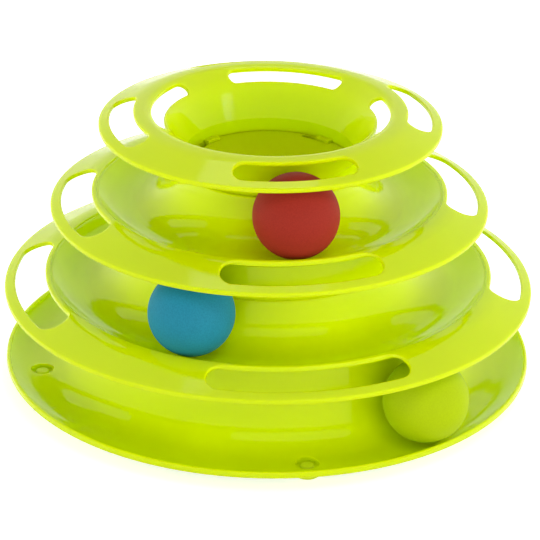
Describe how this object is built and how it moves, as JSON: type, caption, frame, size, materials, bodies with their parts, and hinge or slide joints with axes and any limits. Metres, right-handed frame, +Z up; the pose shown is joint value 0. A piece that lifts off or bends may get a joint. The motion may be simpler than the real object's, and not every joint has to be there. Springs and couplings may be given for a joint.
{
  "type": "cat ball track toy",
  "caption": "Round stacked cat toy: a tray and slotted, brimmed tiers that twist-lock together, with a ball trapped in the open gutter of each level to roll round its track.",
  "frame": {"origin": "on the toy's axis, at the level of the foot pads' undersides", "axes": "+Z up along the axis, with a slot of each brim facing each of X and Y; the picture looks from -Y, 10 degrees round towards -X"},
  "size_m": [0.2486, 0.2486, 0.132],
  "materials": {
    "lime_plastic": "glossy, slightly translucent",
    "lime_ball": "fine matte grain",
    "blue_ball": "fine matte grain",
    "red_ball": "fine matte grain",
    "pad_rubber": "soft matte"
  },
  "bodies": {
    "base": {"base_tray": "lime_plastic", "foot_pad_right": "pad_rubber", "foot_pad_back": "pad_rubber", "foot_pad_left": "pad_rubber", "foot_pad_front": "pad_rubber"},
    "lower_tier": {"lower_tier": "lime_plastic"},
    "middle_tier": {"middle_tier": "lime_plastic"},
    "top_tier": {"top_tier": "lime_plastic"},
    "lower_ball": {"lower_ball": "lime_ball"},
    "middle_ball": {"middle_ball": "blue_ball"},
    "upper_ball": {"upper_ball": "red_ball"}
  },
  "joints": [
    {"name": "lower_tier_twist", "type": "hinge", "parent": "base", "child": "lower_tier", "pos_m": [0, 0, 0], "axis": [0, 0, 1], "range_deg": [0, 12]},
    {"name": "middle_tier_twist", "type": "hinge", "parent": "lower_tier", "child": "middle_tier", "pos_m": [0, 0, 0], "axis": [0, 0, 1], "range_deg": [0, 12]},
    {"name": "top_tier_twist", "type": "hinge", "parent": "middle_tier", "child": "top_tier", "pos_m": [0, 0, 0], "axis": [0, 0, 1], "range_deg": [0, 12]},
    {"name": "lower_ball_run", "type": "hinge", "parent": "base", "child": "lower_ball", "pos_m": [0, 0, 0], "axis": [0, 0, 1], "continuous": true},
    {"name": "middle_ball_run", "type": "hinge", "parent": "lower_tier", "child": "middle_ball", "pos_m": [0, 0, 0], "axis": [0, 0, 1], "continuous": true},
    {"name": "upper_ball_run", "type": "hinge", "parent": "middle_tier", "child": "upper_ball", "pos_m": [0, 0, 0], "axis": [0, 0, 1], "continuous": true}
  ]
}
